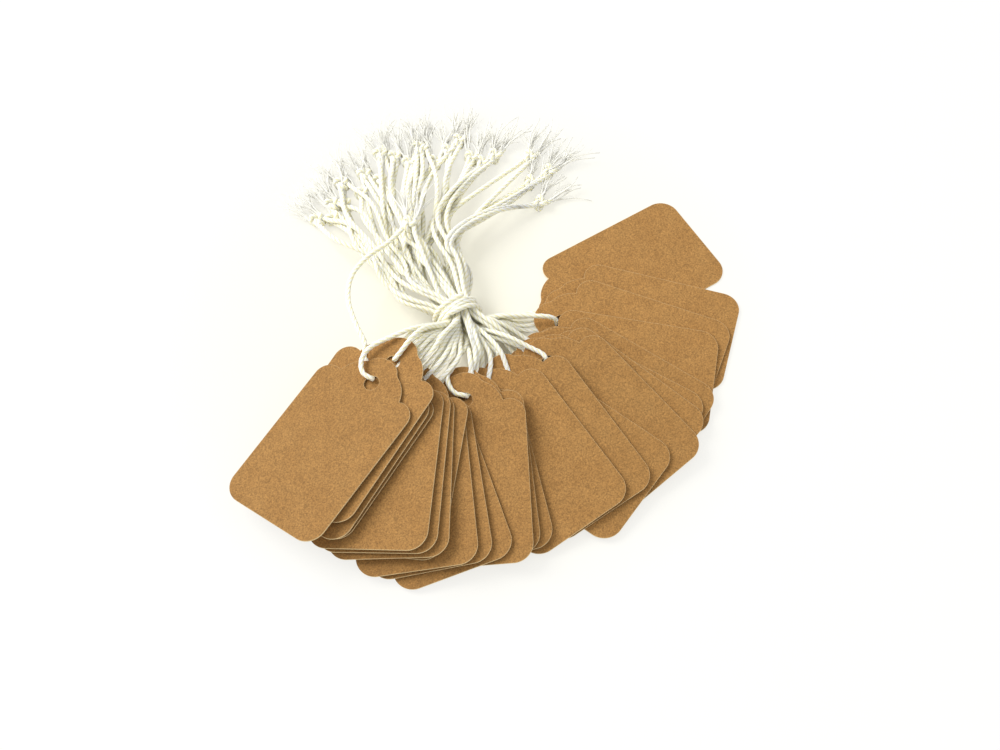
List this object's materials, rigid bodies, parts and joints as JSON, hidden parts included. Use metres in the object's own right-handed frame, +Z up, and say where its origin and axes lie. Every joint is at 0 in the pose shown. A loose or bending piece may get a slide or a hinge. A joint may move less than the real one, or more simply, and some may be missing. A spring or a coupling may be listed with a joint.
{
  "type": "gift tag bundle",
  "caption": "Strung kraft gift tags with a scalloped end, fanned out and tied together by their knotted cotton strings.",
  "frame": {"origin": "on the table, under the middle of the box round the cards", "axes": "X to the right of the picture, Y away from the camera along the table, Z up"},
  "size_m": [0.1294, 0.1427, 0.0173],
  "materials": {
    "kraft_card": "matt kraft card",
    "cotton_string": "natural ivory cotton"
  },
  "bodies": {
    "strings": {"string_01": "cotton_string", "string_02": "cotton_string", "string_03": "cotton_string", "string_04": "cotton_string", "string_05": "cotton_string", "string_06": "cotton_string", "string_07": "cotton_string", "string_08": "cotton_string", "string_09": "cotton_string", "string_10": "cotton_string", "string_11": "cotton_string", "string_12": "cotton_string", "string_13": "cotton_string", "string_14": "cotton_string", "string_15": "cotton_string", "string_16": "cotton_string", "string_17": "cotton_string", "string_18": "cotton_string", "string_19": "cotton_string", "string_20": "cotton_string", "string_21": "cotton_string", "string_22": "cotton_string", "string_23": "cotton_string", "string_24": "cotton_string", "string_25": "cotton_string", "tie_string": "cotton_string"},
    "card_01": {"tag_01": "kraft_card"},
    "card_02": {"tag_02": "kraft_card"},
    "card_03": {"tag_03": "kraft_card"},
    "card_04": {"tag_04": "kraft_card"},
    "card_05": {"tag_05": "kraft_card"},
    "card_06": {"tag_06": "kraft_card"},
    "card_07": {"tag_07": "kraft_card"},
    "card_08": {"tag_08": "kraft_card"},
    "card_09": {"tag_09": "kraft_card"},
    "card_10": {"tag_10": "kraft_card"},
    "card_11": {"tag_11": "kraft_card"},
    "card_12": {"tag_12": "kraft_card"},
    "card_13": {"tag_13": "kraft_card"},
    "card_14": {"tag_14": "kraft_card"},
    "card_15": {"tag_15": "kraft_card"},
    "card_16": {"tag_16": "kraft_card"},
    "card_17": {"tag_17": "kraft_card"},
    "card_18": {"tag_18": "kraft_card"},
    "card_19": {"tag_19": "kraft_card"},
    "card_20": {"tag_20": "kraft_card"},
    "card_21": {"tag_21": "kraft_card"},
    "card_22": {"tag_22": "kraft_card"},
    "card_23": {"tag_23": "kraft_card"},
    "card_24": {"tag_24": "kraft_card"},
    "card_25": {"tag_25": "kraft_card"}
  },
  "joints": [
    {"name": "tag_01_swing", "type": "hinge", "parent": "strings", "child": "card_01", "pos_m": [-0.03022, -0.00768, 0.01442], "axis": [-0.2306, 0.0003, 0.973], "range_deg": [-5, 5]},
    {"name": "tag_02_swing", "type": "hinge", "parent": "strings", "child": "card_02", "pos_m": [-0.02523, -0.00208, 0.01485], "axis": [-0.2258, -0.0207, 0.974], "range_deg": [-5, 5]},
    {"name": "tag_03_swing", "type": "hinge", "parent": "strings", "child": "card_03", "pos_m": [-0.02628, -0.0057, 0.01372], "axis": [-0.2192, -0.0406, 0.9748], "range_deg": [-5, 5]},
    {"name": "tag_04_swing", "type": "hinge", "parent": "strings", "child": "card_04", "pos_m": [-0.0251, -0.00531, 0.01323], "axis": [-0.2111, -0.0593, 0.9757], "range_deg": [-5, 5]},
    {"name": "tag_05_swing", "type": "hinge", "parent": "strings", "child": "card_05", "pos_m": [-0.02654, -0.00736, 0.01203], "axis": [-0.2015, -0.0768, 0.9765], "range_deg": [-5, 5]},
    {"name": "tag_06_swing", "type": "hinge", "parent": "strings", "child": "card_06", "pos_m": [-0.02496, -0.0078, 0.01156], "axis": [-0.1907, -0.093, 0.9772], "range_deg": [-5, 5]},
    {"name": "tag_07_swing", "type": "hinge", "parent": "strings", "child": "card_07", "pos_m": [-0.02433, -0.00877, 0.01084], "axis": [-0.1788, -0.1078, 0.978], "range_deg": [-5, 5]},
    {"name": "tag_08_swing", "type": "hinge", "parent": "strings", "child": "card_08", "pos_m": [-0.02029, -0.00801, 0.01088], "axis": [-0.166, -0.1212, 0.9786], "range_deg": [-5, 5]},
    {"name": "tag_09_swing", "type": "hinge", "parent": "strings", "child": "card_09", "pos_m": [-0.02239, -0.01145, 0.00936], "axis": [-0.1525, -0.1331, 0.9793], "range_deg": [-5, 5]},
    {"name": "tag_10_swing", "type": "hinge", "parent": "strings", "child": "card_10", "pos_m": [-0.02094, -0.01153, 0.00883], "axis": [-0.1383, -0.1436, 0.9799], "range_deg": [-5, 5]},
    {"name": "tag_11_swing", "type": "hinge", "parent": "strings", "child": "card_11", "pos_m": [-0.02215, -0.01374, 0.00762], "axis": [-0.1237, -0.1527, 0.9805], "range_deg": [-5, 5]},
    {"name": "tag_12_swing", "type": "hinge", "parent": "strings", "child": "card_12", "pos_m": [-0.00721, -0.0097, 0.00952], "axis": [-0.1088, -0.1604, 0.981], "range_deg": [-5, 5]},
    {"name": "tag_13_swing", "type": "hinge", "parent": "strings", "child": "card_13", "pos_m": [-0.0078, -0.00774, 0.00904], "axis": [-0.0937, -0.1667, 0.9815], "range_deg": [-5, 5]},
    {"name": "tag_14_swing", "type": "hinge", "parent": "strings", "child": "card_14", "pos_m": [-0.00911, -0.00829, 0.00797], "axis": [-0.0677, -0.1623, 0.9844], "range_deg": [-5, 5]},
    {"name": "tag_15_swing", "type": "hinge", "parent": "strings", "child": "card_15", "pos_m": [-0.00223, -0.00676, 0.00744], "axis": [-0.044, -0.1542, 0.9871], "range_deg": [-5, 5]},
    {"name": "tag_16_swing", "type": "hinge", "parent": "strings", "child": "card_16", "pos_m": [0.00409, -0.00268, 0.00747], "axis": [-0.0231, -0.143, 0.9894], "range_deg": [-5, 5]},
    {"name": "tag_17_swing", "type": "hinge", "parent": "strings", "child": "card_17", "pos_m": [0.00249, -0.00872, 0.00586], "axis": [-0.0052, -0.1292, 0.9916], "range_deg": [-5, 5]},
    {"name": "tag_18_swing", "type": "hinge", "parent": "strings", "child": "card_18", "pos_m": [0.01412, 0.00284, 0.0065], "axis": [0.0092, -0.1134, 0.9935], "range_deg": [-5, 5]},
    {"name": "tag_19_swing", "type": "hinge", "parent": "strings", "child": "card_19", "pos_m": [0.0123, 0.0037, 0.00572], "axis": [0.0199, -0.0961, 0.9952], "range_deg": [-5, 5]},
    {"name": "tag_20_swing", "type": "hinge", "parent": "strings", "child": "card_20", "pos_m": [0.01037, 0.00182, 0.00469], "axis": [0.0269, -0.078, 0.9966], "range_deg": [-5, 5]},
    {"name": "tag_21_swing", "type": "hinge", "parent": "strings", "child": "card_21", "pos_m": [0.01397, 0.00684, 0.00395], "axis": [0.03, -0.0597, 0.9978], "range_deg": [-5, 5]},
    {"name": "tag_22_swing", "type": "hinge", "parent": "strings", "child": "card_22", "pos_m": [0.01433, 0.00643, 0.00305], "axis": [0.0295, -0.0418, 0.9987], "range_deg": [-5, 5]},
    {"name": "tag_23_swing", "type": "hinge", "parent": "strings", "child": "card_23", "pos_m": [0.01767, 0.01768, 0.00234], "axis": [0.0254, -0.025, 0.9994], "range_deg": [-5, 5]},
    {"name": "tag_24_swing", "type": "hinge", "parent": "strings", "child": "card_24", "pos_m": [0.02066, 0.02277, 0.00129], "axis": [0.0179, -0.0098, 0.9998], "range_deg": [-5, 5]},
    {"name": "tag_25_swing", "type": "hinge", "parent": "strings", "child": "card_25", "pos_m": [0.01893, 0.02374, 0.00053], "axis": [0.0075, 0.0032, 1], "range_deg": [-5, 5]}
  ]
}
